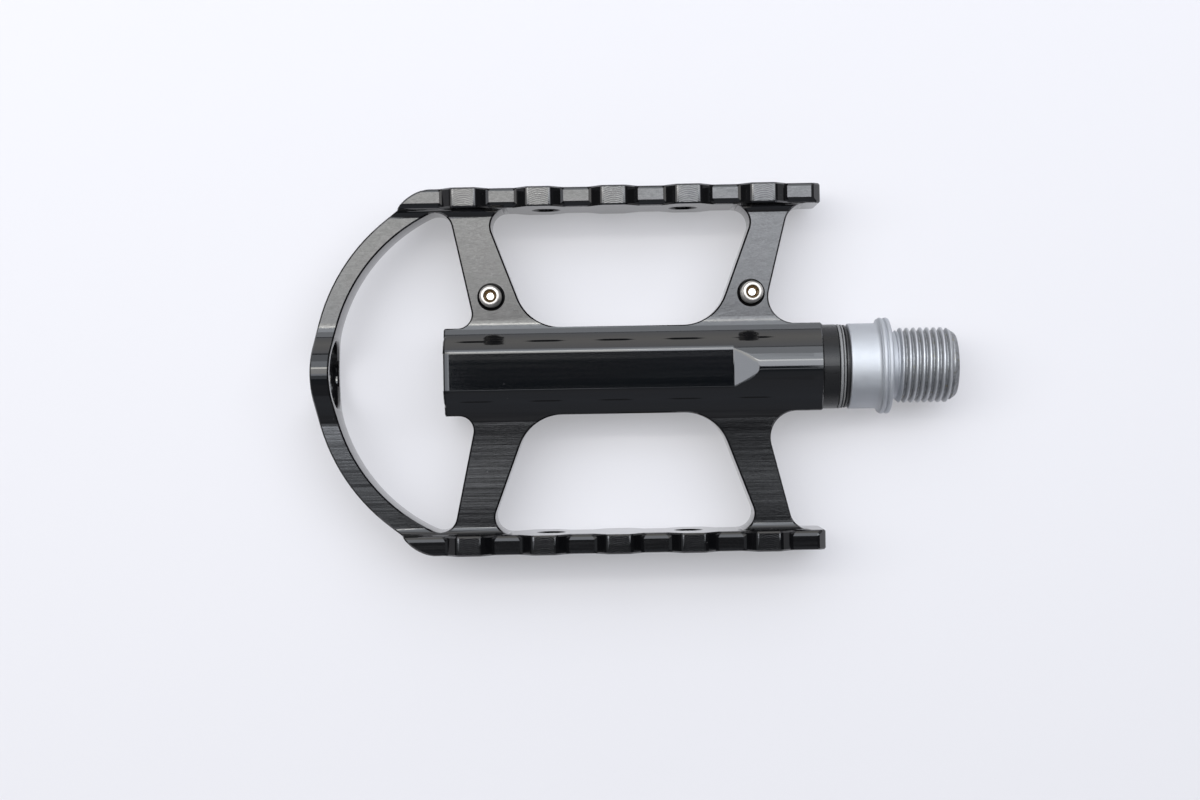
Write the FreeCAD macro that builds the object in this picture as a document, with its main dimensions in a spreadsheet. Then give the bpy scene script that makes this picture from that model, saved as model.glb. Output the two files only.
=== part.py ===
"""Platform pedal: a milled cage that turns on a spindle with a bushing and two ball bearings.

Millimetres. +X runs along the spindle to its crank thread, +Z is up through one tread face, and the
origin is on the spindle's axis where the thread starts.
"""
import FreeCAD, Part
import math
import operator
import os
from types import SimpleNamespace

import Sketcher

# Driving dimensions. Names ending in _dia are diameters, _r radii and _w widths.
DIMENSIONS = {
    # spindle, from the crank end inwards
    "thread_dia": 14.2,
    "thread_len": 8.9,
    "tip_len": 1.8,
    "tip_dia": 11.7,
    "key_flats": 6.0,
    "key_depth": 9.0,
    "neck_dia": 12.6,
    "neck_len": 1.9,
    "flange_dia": 18.2,
    "flange_len": 1.95,
    "flange_edge": 0.3,
    "flange_groove": 0.22,
    "collar_dia": 16.1,
    "collar_len": 5.8,
    "seal_land_dia": 12.4,
    "journal_dia": 10.0,
    "shoulder_dia": 7.6,
    "stub_dia": 5.0,
    "stub_len": 4.6,
    "stub_edge": 0.4,
    # seal and bushing at the crank end
    "seal_dia": 15.9,
    "seal_len": 2.0,
    "seal_rib": 0.55,
    "seal_groove": 0.35,
    "end_float": 0.1,
    "ring_dia": 15.9,
    "ring_len": 3.0,
    "ring_edge": 0.15,
    "bush_dia": 13.0,
    "bush_len": 11.2,
    "running_gap": 0.03,
    "seat_gap": 0.01,
    # cage: section across the spindle
    "barrel_dia": 16.4,
    "barrel_len": 70.7,
    "barrel_edge": 0.15,
    "barrel_blend": 6.0,
    "plate_w": 8.75,
    "cage_w": 68.3,
    "rail_w": 3.7,
    "rail_step": 2.32,
    "rail_bevel": 0.75,
    "rail_edge": 0.3,
    # cage: plan
    "cage_len": 95.4,
    "hoop_over": 2.15,
    "hoop_w": 3.5,
    "hoop_corner": 3.1,
    "rail_round_r": 8.6,
    "rail_round_in": 0.1,
    "rail_round_lip": 0.1,
    "inner_arm_root": 11.3,
    "inner_arm_root_w": 8.8,
    "inner_arm_tip": 5.7,
    "inner_arm_tip_w": 6.05,
    "outer_arm_inset": 5.9,
    "outer_arm_root_w": 10.1,
    "outer_arm_tip": 63.05,
    "outer_arm_tip_w": 6.5,
    "window_root_r": 8.5,
    "window_tip_r": 3.2,
    "notch_root_r": 5.0,
    "notch_tip_r": 3.8,
    "opening_root_r": 2.7,
    # teeth of the rails
    "tooth_count": 5,
    "tooth_first": 10.84,
    "tooth_pitch": 13.88,
    "tooth_top": 4.6,
    "tooth_rise": 2.0,
    "tooth_round": 1.2,
    "rail_end_bevel": 1.5,
    # flats, bores and holes of the cage
    "flat_width": 14.6,
    "flat_end": 16.7,
    "flat_ramp": 5.0,
    "tool_hole_dia": 12.6,
    "middle_bore_dia": 10.6,
    "pocket_depth": 17.1,
    "cap_dia": 12.4,
    "cap_recess": 0.3,
    "cap_len": 3.0,
    "cap_key_flats": 6.0,
    "cap_key_depth": 1.8,
    "o_ring_cord": 0.8,
    "reflector_hole_dia": 5.0,
    "reflector_first": 25.4,
    "reflector_pitch": 25.9,
    # traction pins
    "pin_dia": 4.0,
    "pin_stand": 4.25,
    "pin_depth": 4.5,
    "pin_edge": 0.35,
    "pin_key_flats": 2.0,
    "pin_key_depth": 1.7,
    "pin_sink_dia": 4.6,
    "pin_y": 14.0,
    "inner_pin_shift": 0.74,
    "outer_pin_shift": -0.27,
    # ball bearings, spacer, washer and nut
    "bearing_dia": 12.0,
    "bearing_bore": 6.0,
    "bearing_w": 4.0,
    "race_wall": 0.8,
    "inner_race_wall": 0.85,
    "ball_dia": 1.6,
    "ball_count": 9,
    "ball_gap": 0.03,
    "retainer_wall": 0.7,
    "retainer_w": 2.3,
    "shield_wall": 0.25,
    "shield_inset": 0.1,
    "shield_gap": 0.2,
    "spacer_w": 1.0,
    "washer_w": 0.8,
    "nut_flats": 8.0,
    "nut_len": 3.2,
}

HEX_CORNER = 2 / math.sqrt(3)  # corner circle of a hexagon over its flats
PAST = 2.0  # how far a cut runs past the face it opens
SIGNS = {
    "+": operator.add,
    "-": operator.sub,
    "*": operator.mul,
    "/": operator.truediv,
}

doc = FreeCAD.newDocument("pedal")
pieces = []


class Size:
    """A length as a number, with the sheet expression that it comes from."""

    def __init__(self, value, text):
        self.value = value
        self.text = text

    def __add__(self, other):
        return combine("+", self, other)

    def __sub__(self, other):
        return combine("-", self, other)

    def __mul__(self, other):
        return combine("*", self, other)

    def __truediv__(self, other):
        return combine("/", self, other)

    def __neg__(self):
        return combine("*", self, -1)


def as_size(thing):
    if isinstance(thing, Size):
        return thing
    return Size(float(thing), f"({float(thing)!r})")


def combine(sign, left, right):
    left = as_size(left)
    right = as_size(right)
    return Size(SIGNS[sign](left.value, right.value), f"({left.text} {sign} {right.text})")


def root(size):
    return Size(math.sqrt(size.value), f"sqrt({size.text})")


def leg(long_side, side):
    """The other leg of a right triangle."""
    return root(long_side * long_side - side * side)


def make_sheet():
    """Writes the driving dimensions to the sheet and returns them as sizes by name."""
    sheet = doc.addObject("Spreadsheet::Sheet", "dims")
    for row, (alias, value) in enumerate(DIMENSIONS.items(), 1):
        sheet.set(f"A{row}", alias)
        sheet.set(f"B{row}", str(value))
        sheet.setAlias(f"B{row}", alias)
    doc.recompute()
    return SimpleNamespace(
        **{alias: Size(float(sheet.get(alias)), f"dims.{alias}") for alias in DIMENSIONS}
    )


def bind(thing, path, size):
    size = as_size(size)
    thing.setExpression(path, size.text)


def place(thing, x=0, y=0, z=0, rotation=None):
    """Puts a piece at a bound position, turned if a rotation is given."""
    spot = [as_size(v) for v in (x, y, z)]
    thing.Placement = FreeCAD.Placement(
        FreeCAD.Vector(*(s.value for s in spot)), rotation or FreeCAD.Rotation()
    )
    for axis, size in zip("xyz", spot):
        bind(thing, f"Placement.Base.{axis}", size)


def new_body(label):
    body = doc.addObject("PartDesign::Body", label)
    body.Label = label
    pieces.append(body)
    return body


def datum(body, role):
    return next(f for f in body.Origin.OriginFeatures if f.Role == role)


def new_sketch(body, name, role, u=0, v=0, lift=0):
    """An empty sketch on one of the body's own planes, moved in it by u, v and off it by lift."""
    sketch = body.newObject("Sketcher::SketchObject", name)
    sketch.AttachmentSupport = [(datum(body, role), "")]
    sketch.MapMode = "FlatFace"
    for axis, size in zip("xyz", (u, v, lift)):
        bind(sketch, f"AttachmentOffset.Base.{axis}", size)
    return sketch


def limit(kind, *geometry, size=None):
    """One sketch constraint with the expression that drives it, if a size does."""
    if size is None:
        return Sketcher.Constraint(kind, *geometry), None
    return Sketcher.Constraint(kind, *geometry, size.value), size.text


def point_limits(geo, end, u, v):
    """Constraints that hold one end of a sketch curve at the coordinates u, v."""
    # a sketch numbers its horizontal axis, which holds its origin, -1 and its vertical axis -2
    level, upright = -1, -2
    limits = []
    for kind, size, axis in (("DistanceX", u, upright), ("DistanceY", v, level)):
        size = as_size(size)
        if abs(size.value) < 1e-9:
            limits.append(limit("PointOnObject", geo, end, axis))
        else:
            limits.append(limit(kind, level, 1, geo, end, size=size))
    return limits


def settle(sketch, limits):
    """Adds constraints to a sketch and ties them to the sheet."""
    indexes = sketch.addConstraint([constraint for constraint, _ in limits])
    for index, (_, text) in zip(indexes, limits):
        if text:
            sketch.setExpression(f"Constraints[{index}]", text)


def vector(u, v):
    return FreeCAD.Vector(as_size(u).value, as_size(v).value, 0)


def arc_of(start, end, centre, turn):
    """A sketch arc, which always runs anticlockwise, for a path that may run either way."""
    first, last = (start, end) if turn > 0 else (end, start)
    angles = [math.atan2(p.y - centre.y, p.x - centre.x) for p in (first, last)]
    if angles[1] < angles[0]:
        angles[1] += 2 * math.pi
    circle = Part.Circle(centre, FreeCAD.Vector(0, 0, 1), (start - centre).Length)
    return Part.ArcOfCircle(circle, *angles)


def outline(sketch, corners):
    """Draws a closed outline through corners (u, v), each held by the sheet.

    A corner (u, v, (centre_u, centre_v, radius, turn)) goes on to the next one by an arc, which
    turns anticlockwise where turn is 1 and clockwise where it is -1.
    """
    spots = [vector(*corner[:2]) for corner in corners]
    ends = []
    for corner, start, end in zip(corners, spots, spots[1:] + spots[:1]):
        if len(corner) == 2:
            curve = Part.LineSegment(start, end)
            ends.append((sketch.addGeometry(curve, False), 1, 2))
        else:
            turn = corner[2][3]
            curve = arc_of(start, end, vector(*corner[2][:2]), turn)
            order = (1, 2) if turn > 0 else (2, 1)
            ends.append((sketch.addGeometry(curve, False), *order))
    limits = []
    for here, after in zip(ends, ends[1:] + ends[:1]):
        limits.append(limit("Coincident", here[0], here[2], after[0], after[1]))
    for corner, (geo, start, _) in zip(corners, ends):
        limits += point_limits(geo, start, *corner[:2])
        if len(corner) > 2:
            limits.append(limit("Radius", geo, size=corner[2][2]))
    settle(sketch, limits)


def circle(sketch, u, v, radius):
    curve = Part.Circle(vector(u, v), FreeCAD.Vector(0, 0, 1), radius.value)
    geo = sketch.addGeometry(curve, False)
    settle(sketch, [limit("Radius", geo, size=radius), *point_limits(geo, 3, u, v)])


def hexagon(sketch, flats):
    """A hexagon about the sketch's origin, a size across its flats."""
    reach = flats * (HEX_CORNER / 2)
    steps = [math.pi / 6 + k * math.pi / 3 for k in range(6)]
    outline(sketch, [(reach * math.cos(a), reach * math.sin(a)) for a in steps])


class Line:
    """A straight side of a milled opening, through two held points."""

    def __init__(self, start, end):
        self.points = (start, end)
        self.start = vector(*start)
        self.along = (vector(*end) - self.start).normalize()
        self.left = FreeCAD.Vector(-self.along.y, self.along.x, 0)

    def foot(self, spot):
        return self.start + self.along * (spot - self.start).dot(self.along)

    def curve(self, start, end):
        return Part.LineSegment(start, end)

    def limits(self, sketch, geo):
        found = []
        for u, v in self.points:
            mark = sketch.addGeometry(Part.Point(vector(u, v)), True)
            found += point_limits(mark, 1, u, v)
            found.append(limit("PointOnObject", mark, 1, geo))
        return found


class Ring:
    """A round side of a milled opening, anticlockwise about a held centre."""

    def __init__(self, centre, radius):
        self.spot = centre
        self.centre = vector(*centre)
        self.radius = radius

    def foot(self, spot):
        return self.centre + (spot - self.centre).normalize() * self.radius.value

    def curve(self, start, end):
        return arc_of(start, end, self.centre, 1)

    def limits(self, sketch, geo):
        return [limit("Radius", geo, size=self.radius), *point_limits(geo, 3, *self.spot)]


def corner_centre(side, after, radius):
    """Centre of the round between two sides, or their crossing where the radius is 0."""
    if isinstance(side, Ring):
        return cross_ring(after, side, radius, 1)
    if isinstance(after, Ring):
        return cross_ring(side, after, radius, -1)
    start = side.start + side.left * radius
    gap = after.start + after.left * radius - start
    return start + side.along * (gap.dot(after.left) / side.along.dot(after.left))


def cross_ring(line, ring, radius, way):
    """Where a line and a ring cross, both moved in by a radius: the last crossing or the first."""
    start = line.start + line.left * radius
    middle = (ring.centre - start).dot(line.along)
    miss = (start + line.along * middle - ring.centre).Length
    half = math.sqrt((ring.radius.value - radius) ** 2 - miss**2)
    return start + line.along * (middle - way * half)


def opening(sketch, sides, rounds):
    """Draws an opening, anticlockwise: its sides in order, with the round that follows each."""
    bends = [as_size(r).value for r in rounds]
    centres = [corner_centre(*pair, r) for pair, r in zip(zip(sides, sides[1:] + sides[:1]), bends)]
    geos = []
    limits = []
    for k, side in enumerate(sides):
        curve = side.curve(side.foot(centres[k - 1]), side.foot(centres[k]))
        geos.append(sketch.addGeometry(curve, False))
        limits += side.limits(sketch, geos[k])
    for k, size in enumerate(rounds):
        after = (k + 1) % len(sides)
        if not bends[k]:
            limits.append(limit("Coincident", geos[k], 2, geos[after], 1))
            continue
        feet = [sides[n].foot(centres[k]) for n in (k, after)]
        bend = sketch.addGeometry(arc_of(*feet, centres[k], 1), False)
        limits.append(limit("Tangent", geos[k], 2, bend, 1))
        limits.append(limit("Tangent", bend, 2, geos[after], 1))
        limits.append(limit("Radius", bend, size=size))
    settle(sketch, limits)


def feature(body, kind, name, sketch, **settings):
    """Adds a feature made from a sketch, and tests that it adds or removes material."""
    doc.recompute()
    before = body.Shape.Volume if body.Tip else 0.0
    made = body.newObject(f"PartDesign::{kind}", name)
    made.Profile = sketch
    for key, value in settings.items():
        if isinstance(value, Size):
            bind(made, key, value)
        else:
            setattr(made, key, value)
    doc.recompute()
    change = body.Shape.Volume - before
    if change * (1 if kind in ("Pad", "Revolution") else -1) <= 0:
        raise RuntimeError(f"{body.Label}: {name} changes nothing")
    return made


def repeat(body, kind, name, originals, **settings):
    """Mirrors or patterns features of a body."""
    made = body.newObject(f"PartDesign::{kind}", name)
    made.Originals = originals
    for key, value in settings.items():
        setattr(made, key, value)
    body.Tip = made
    doc.recompute()
    return made


def turned(label, corners, role="XZ_Plane", axis="H_Axis"):
    """A turned piece: half its section, revolved about one of the sketch's axes."""
    body = new_body(label)
    sketch = new_sketch(body, f"{label}_section", role)
    outline(sketch, corners)
    feature(body, "Revolution", f"{label}_turned", sketch, ReferenceAxis=(sketch, [axis]), Angle=360)
    return body


def sleeve(label, x0, x1, inner, outer):
    return turned(label, [(x0, inner), (x1, inner), (x1, outer), (x0, outer)])


d = make_sheet()

# Stations along the spindle, from the crank to the free end.
seat_x = -d.neck_len
flange_x = seat_x - d.flange_len
collar_x = flange_x - d.collar_len
seal_x = collar_x - d.seal_len
ring_x = seal_x - d.end_float
cage_x = ring_x - d.ring_len
bush_x = cage_x - d.bush_len
barrel_x = cage_x - d.barrel_len
hoop_x = cage_x - d.cage_len
shelf_x = barrel_x + d.pocket_depth
inner_bearing_x = shelf_x - d.bearing_w / 2
spacer_x = shelf_x - d.bearing_w
outer_bearing_x = spacer_x - d.spacer_w - d.bearing_w / 2
washer_x = outer_bearing_x - d.bearing_w / 2
nut_x = washer_x - d.washer_w
cap_face_x = barrel_x + d.cap_recess
cap_x = cap_face_x + d.cap_len

# Heights and widths of the cage, from the spindle's axis.
barrel_r = d.barrel_dia / 2
plate_z = d.plate_w / 2
land_z = plate_z + d.rail_step
tread_z = land_z + d.tooth_rise
flat_z = d.flat_width / 2
rail_out = d.cage_w / 2
rail_in = rail_out - d.rail_w
rail_fillet = d.rail_step - d.rail_bevel

# The hoop's outer arc, and the arms' edges as distances from the cage's crank end.
hoop_r = rail_out + d.hoop_over
hoop_centre_x = hoop_x + hoop_r
inner_root = d.inner_arm_root
inner_root_end = inner_root + d.inner_arm_root_w
inner_tip = d.inner_arm_tip
inner_tip_end = inner_tip + d.inner_arm_tip_w
outer_root_end = d.barrel_len - d.outer_arm_inset
outer_root = outer_root_end - d.outer_arm_root_w
outer_tip = d.outer_arm_tip
outer_tip_end = outer_tip + d.outer_arm_tip_w

# Radii that the pieces on the spindle share.
journal_r = d.journal_dia / 2
bearing_seat_r = d.bearing_bore / 2
pocket_r = d.bearing_dia / 2
ball_r = d.ball_dia / 2
track_r = ball_r + d.ball_gap
outer_land_r = pocket_r - d.race_wall
inner_land_r = bearing_seat_r + d.inner_race_wall
pitch_r = (outer_land_r + inner_land_r) / 2


def make_spindle():
    """Spindle: crank thread, flange, collar, journal, taper and stub, turned in one piece."""
    flange_r = d.flange_dia / 2
    collar_r = d.collar_dia / 2
    edge = d.flange_edge
    fillet = flange_r - edge - collar_r
    rim_x = (seat_x + flange_x) / 2
    stub_r = d.stub_dia / 2
    stub_x = washer_x - d.stub_len
    body = turned(
        "spindle",
        [
            (d.thread_len + d.tip_len, 0),
            (d.thread_len + d.tip_len, d.tip_dia / 2),
            (d.thread_len, d.thread_dia / 2),
            (0, d.thread_dia / 2),
            ((d.neck_dia - d.thread_dia) / 2, d.neck_dia / 2),
            (seat_x, d.neck_dia / 2),
            (seat_x, flange_r - edge),
            (seat_x - edge, flange_r),
            (rim_x + d.flange_groove, flange_r),
            (rim_x, flange_r - d.flange_groove),
            (rim_x - d.flange_groove, flange_r),
            (flange_x + edge, flange_r),
            (flange_x, flange_r - edge, (flange_x - fillet, flange_r - edge, fillet, -1)),
            (flange_x - fillet, collar_r),
            (collar_x, collar_r),
            (collar_x, d.seal_land_dia / 2),
            (seal_x, d.seal_land_dia / 2),
            (seal_x, journal_r),
            (bush_x, journal_r),
            (shelf_x, d.shoulder_dia / 2),
            (shelf_x, bearing_seat_r),
            (washer_x + d.washer_w / 2, bearing_seat_r),
            (washer_x + d.washer_w / 2, stub_r),
            (stub_x + d.stub_edge, stub_r),
            (stub_x, stub_r - d.stub_edge),
            (stub_x, 0),
        ],
    )
    key = new_sketch(body, "key_outline", "YZ_Plane", lift=d.thread_len + d.tip_len)
    hexagon(key, d.key_flats)
    feature(body, "Pocket", "key_socket", key, Length=d.key_depth)


def make_seal():
    """Rubber seal on the spindle beside the collar, with two ribs at its rim."""
    rim = d.seal_dia / 2
    floor = rim - d.seal_groove
    first = seal_x + d.seal_rib
    second = collar_x - d.seal_rib
    gap = (second - first - d.seal_rib) / 2
    turned(
        "spindle_seal",
        [
            (seal_x, d.seal_land_dia / 2 + d.seat_gap),
            (collar_x, d.seal_land_dia / 2 + d.seat_gap),
            (collar_x, floor),
            (second + d.seal_rib - gap, floor),
            (second + d.seal_rib - gap, rim),
            (second - gap, rim),
            (second - gap, floor),
            (first, floor),
            (first, rim),
            (seal_x, rim),
        ],
    )


def make_bushing():
    """Polymer bushing in the cage's mouth, with the black ring outside it as its flange."""
    rim = d.ring_dia / 2
    bore = journal_r + d.running_gap
    turned(
        "flanged_bushing",
        [
            (ring_x, bore),
            (ring_x, rim - d.ring_edge),
            (ring_x - d.ring_edge, rim),
            (cage_x, rim),
            (cage_x, d.bush_dia / 2 - d.seat_gap),
            (bush_x, d.bush_dia / 2 - d.seat_gap),
            (bush_x, bore),
        ],
    )


def cage_section():
    """Corners of a quarter of the cage's section, from the barrel out to the rail's rim."""
    blend_z = plate_z + d.barrel_blend
    blend_y = leg(barrel_r + d.barrel_blend, blend_z)
    share = barrel_r / (barrel_r + d.barrel_blend)
    return [
        (blend_y * share, blend_z * share, (blend_y, blend_z, d.barrel_blend)),
        (blend_y, plate_z, None),
        (rail_in - rail_fillet, plate_z, (rail_in - rail_fillet, plate_z + rail_fillet, rail_fillet)),
        (rail_in, plate_z + rail_fillet, None),
        (rail_in + d.rail_bevel, land_z, None),
        (rail_out - d.rail_edge, land_z, None),
        (rail_out, land_z - d.rail_edge, None),
    ]


def mirrored_section(quarter, y_sign, z_sign, inward):
    """One quarter of the section on its own side, as outline corners from the rim in or back out."""
    spots = [(y * y_sign, z * z_sign) for y, z, _ in quarter]
    bends = [bend for *_, bend in quarter]
    turn = y_sign * z_sign
    if inward:
        spots.reverse()
        # an arc belongs to the corner that it starts from, which is its other end on the way back
        bends = bends[-2::-1] + [None]
        turn = -turn
    corners = []
    for spot, bend in zip(spots, bends):
        if bend:
            y, z, radius = bend
            spot = (*spot, (y * y_sign, z * z_sign, radius, turn))
        corners.append(spot)
    return corners


def draw_section(sketch):
    """The whole section, anticlockwise from the rim of the +Y rail's upper side."""
    quarter = cage_section()
    corners = []
    for y_sign, z_sign, inward in ((1, 1, True), (-1, 1, False), (-1, -1, True), (1, -1, False)):
        part = mirrored_section(quarter, y_sign, z_sign, inward)
        if inward:
            part[-1] = (*part[-1][:2], (0, 0, barrel_r, 1))
        corners += part
    outline(sketch, corners)


def arm_line(root_x, tip_x, outward):
    """One edge of an arm, from the barrel's side to the rail's inner wall or back."""
    ends = ((cage_x - root_x, barrel_r), (cage_x - tip_x, rail_in))
    return Line(*(ends if outward else ends[::-1]))


def side_line(x0, x1, y):
    return Line((x0, y), (x1, y))


def mill_windows(body):
    """Windows between the arms, and notches between the inboard arms and the cage's end."""
    window = new_sketch(body, "window_outline", "XY_Plane")
    opening(
        window,
        [
            side_line(cage_x - outer_root, cage_x - inner_root_end, barrel_r),
            arm_line(inner_root_end, inner_tip_end, True),
            side_line(cage_x - inner_tip_end, cage_x - outer_tip, rail_in),
            arm_line(outer_root, outer_tip, False),
        ],
        [d.window_root_r, d.window_tip_r, d.window_tip_r, d.window_root_r],
    )
    notch = new_sketch(body, "notch_outline", "XY_Plane")
    past_x = cage_x + PAST
    opening(
        notch,
        [
            side_line(cage_x - inner_root, past_x, barrel_r),
            Line((past_x, barrel_r), (past_x, rail_in)),
            side_line(past_x, cage_x - inner_tip, rail_in),
            arm_line(inner_root, inner_tip, False),
        ],
        [0, 0, d.notch_tip_r, d.notch_root_r],
    )
    settings = {"Type": "ThroughAll", "SideType": "Symmetric"}
    return [
        feature(body, "Pocket", "window", window, **settings),
        feature(body, "Pocket", "notch", notch, **settings),
    ]


def mill_hoop(body):
    """The hoop round the free end: the opening inside it, and the outline outside it and the rails."""
    root_x = cage_x - outer_root_end
    tip_x = cage_x - outer_tip_end
    inside = new_sketch(body, "hoop_opening", "XY_Plane")
    opening(
        inside,
        [
            side_line(root_x, barrel_x, -barrel_r),
            Line((barrel_x, -barrel_r), (barrel_x, barrel_r)),
            side_line(barrel_x, root_x, barrel_r),
            Line((root_x, barrel_r), (tip_x, rail_in)),
            Ring((hoop_centre_x, 0), hoop_r - d.hoop_w),
            Line((tip_x, -rail_in), (root_x, -barrel_r)),
        ],
        [0, 0, d.opening_root_r, d.hoop_corner, d.hoop_corner, d.opening_root_r],
    )
    past_y = rail_out + PAST
    past_x = hoop_x - PAST
    meet_y = rail_in - d.rail_round_in
    meet_x = hoop_centre_x - leg(hoop_r, meet_y)
    crest_y = rail_out + d.rail_round_lip
    round_y = crest_y - d.rail_round_r
    round_x = meet_x + leg(d.rail_round_r, meet_y - round_y)
    outside = new_sketch(body, "hoop_outline", "XY_Plane")
    outline(
        outside,
        [
            (round_x, past_y),
            (round_x, crest_y, (round_x, round_y, d.rail_round_r, 1)),
            (meet_x, meet_y, (hoop_centre_x, 0, hoop_r, 1)),
            (meet_x, -meet_y, (round_x, -round_y, d.rail_round_r, 1)),
            (round_x, -crest_y),
            (round_x, -past_y),
            (past_x, -past_y),
            (past_x, past_y),
        ],
    )
    settings = {"Type": "ThroughAll", "SideType": "Symmetric"}
    feature(body, "Pocket", "hoop_inside", inside, **settings)
    feature(body, "Pocket", "hoop_outside", outside, **settings)


def draw_tooth(sketch, x, face):
    """One tooth on a rail: sloped flanks that reach down past the rail's bevel, and rounded tips."""
    half = d.tooth_top / 2
    foot_z = land_z - d.rail_bevel
    foot = half + tread_z - foot_z
    # a 45 degree corner of radius r starts r tan(22.5) from the corner
    back = d.tooth_round * math.tan(math.pi / 8)
    slope = back * math.sqrt(0.5)
    flat = half - back
    drop = tread_z - slope
    corners = [
        (x + foot, foot_z),
        (x + half + slope, drop, (x + flat, tread_z - d.tooth_round, d.tooth_round, 1)),
        (x + flat, tread_z),
        (x - flat, tread_z, (x - flat, tread_z - d.tooth_round, d.tooth_round, 1)),
        (x - half - slope, drop),
        (x - foot, foot_z),
    ]
    if face < 0:
        for k, corner in enumerate(corners):
            bend = [(c[0], -c[1], c[2], -c[3]) for c in corner[2:]]
            corners[k] = (corner[0], -corner[1], *bend)
    outline(sketch, corners)


def add_teeth(body):
    """Teeth of the +Y rail, on both tread faces."""
    sketch = new_sketch(body, "teeth_outline", "XZ_Plane", lift=-rail_out)
    for k in range(DIMENSIONS["tooth_count"]):
        for face in (1, -1):
            draw_tooth(sketch, cage_x - d.tooth_first - d.tooth_pitch * k, face)
    return feature(body, "Pad", "teeth", sketch, Length=d.rail_w)


def cut_rail_ends(body):
    """Bevels at the crank end of the +Y rail."""
    sketch = new_sketch(body, "rail_end_outline", "XZ_Plane", lift=-rail_out - PAST)
    for face in (1, -1):
        low = (land_z - d.rail_end_bevel) * face
        corners = [
            (cage_x, low),
            (cage_x + PAST, low),
            (cage_x + PAST, (land_z + PAST) * face),
            (cage_x - d.rail_end_bevel - PAST, (land_z + PAST) * face),
        ]
        outline(sketch, corners)
    return feature(body, "Pocket", "rail_end", sketch, Length=d.rail_w + rail_fillet + PAST, Reversed=True)


def drill_reflector_holes(body):
    """Two screw holes for a reflector through the +Y rail."""
    sketch = new_sketch(body, "reflector_outline", "XZ_Plane", lift=-rail_out - PAST)
    for k in range(2):
        circle(sketch, cage_x - d.reflector_first - d.reflector_pitch * k, 0, d.reflector_hole_dia / 2)
    return feature(body, "Pocket", "reflector_holes", sketch, Length=d.rail_w + PAST * 2, Reversed=True)


def mill_flats(body):
    """Long flats on the top and bottom of the barrel, which run out on a ramp."""
    sketch = new_sketch(body, "flat_outline", "XZ_Plane")
    start_x = barrel_x - PAST
    end_x = cage_x - d.flat_end
    top_z = barrel_r + d.barrel_edge
    out_x = end_x + d.flat_ramp * (top_z - flat_z) / (barrel_r - flat_z)
    for face in (1, -1):
        corners = [
            (start_x, flat_z * face),
            (end_x, flat_z * face),
            (out_x, top_z * face),
            (start_x, top_z * face),
        ]
        outline(sketch, corners)
    feature(body, "Pocket", "flats", sketch, Length=d.barrel_dia, SideType="Symmetric")


def bore_barrel(body):
    """The stepped bore, the tool hole in the hoop and the bevel at the barrel's free end."""
    sketch = new_sketch(body, "bore_section", "XZ_Plane")
    bush_r = d.bush_dia / 2
    cap_r = d.cap_dia / 2
    middle_r = d.middle_bore_dia / 2
    tool_r = d.tool_hole_dia / 2
    outline(
        sketch,
        [
            (barrel_x - PAST, 0),
            (cage_x + PAST, 0),
            (cage_x + PAST, bush_r),
            (bush_x, bush_r),
            (bush_x, middle_r),
            (shelf_x, middle_r),
            (shelf_x, pocket_r),
            (cap_x, pocket_r),
            (cap_x, cap_r),
            (barrel_x - PAST, cap_r),
        ],
    )
    hoop_past_x = hoop_x + d.hoop_w + PAST
    tool_hole = [(hoop_x - PAST, 0), (hoop_past_x, 0), (hoop_past_x, tool_r), (hoop_x - PAST, tool_r)]
    outline(sketch, tool_hole)
    feature(body, "Groove", "bores", sketch, ReferenceAxis=(sketch, ["H_Axis"]), Angle=360)
    bevel = new_sketch(body, "barrel_bevel_section", "XZ_Plane")
    outline(
        bevel,
        [
            (barrel_x - d.barrel_edge, barrel_r - d.barrel_edge * 2),
            (barrel_x + d.barrel_edge * 2, barrel_r + d.barrel_edge),
            (barrel_x - d.barrel_edge, barrel_r + d.barrel_edge),
        ],
    )
    feature(body, "Groove", "barrel_bevel", bevel, ReferenceAxis=(bevel, ["H_Axis"]), Angle=360)


def pin_stations():
    """Where the traction pins stand: near the middle of the inner arm and of the outer one."""
    share = (d.pin_y - barrel_r) / (rail_in - barrel_r)
    stations = []
    for root_edges, tip_edges, shift in (
        (inner_root + inner_root_end, inner_tip + inner_tip_end, d.inner_pin_shift),
        (outer_root + outer_root_end, outer_tip + outer_tip_end, d.outer_pin_shift),
    ):
        middle = (root_edges + (tip_edges - root_edges) * share) / 2
        stations.append(cage_x - middle + shift)
    return stations


def drill_pin_holes(body):
    """Blind countersunk holes for the traction pins of the upper face."""
    holes = []
    hole_r = d.pin_dia / 2 + d.seat_gap
    sink_r = d.pin_sink_dia / 2
    for k, pin_x in enumerate(pin_stations()):
        sketch = new_sketch(body, f"pin_hole_section_{k}", "XZ_Plane", pin_x, plate_z, -d.pin_y)
        corners = [
            (0, -d.pin_depth),
            (hole_r, -d.pin_depth),
            (hole_r, hole_r - sink_r),
            (sink_r, 0),
            (sink_r, PAST),
            (0, PAST),
        ]
        outline(sketch, corners)
        settings = {"ReferenceAxis": (sketch, ["V_Axis"]), "Angle": 360}
        holes.append(feature(body, "Groove", f"pin_hole_{k}", sketch, **settings))
    return holes


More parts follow.
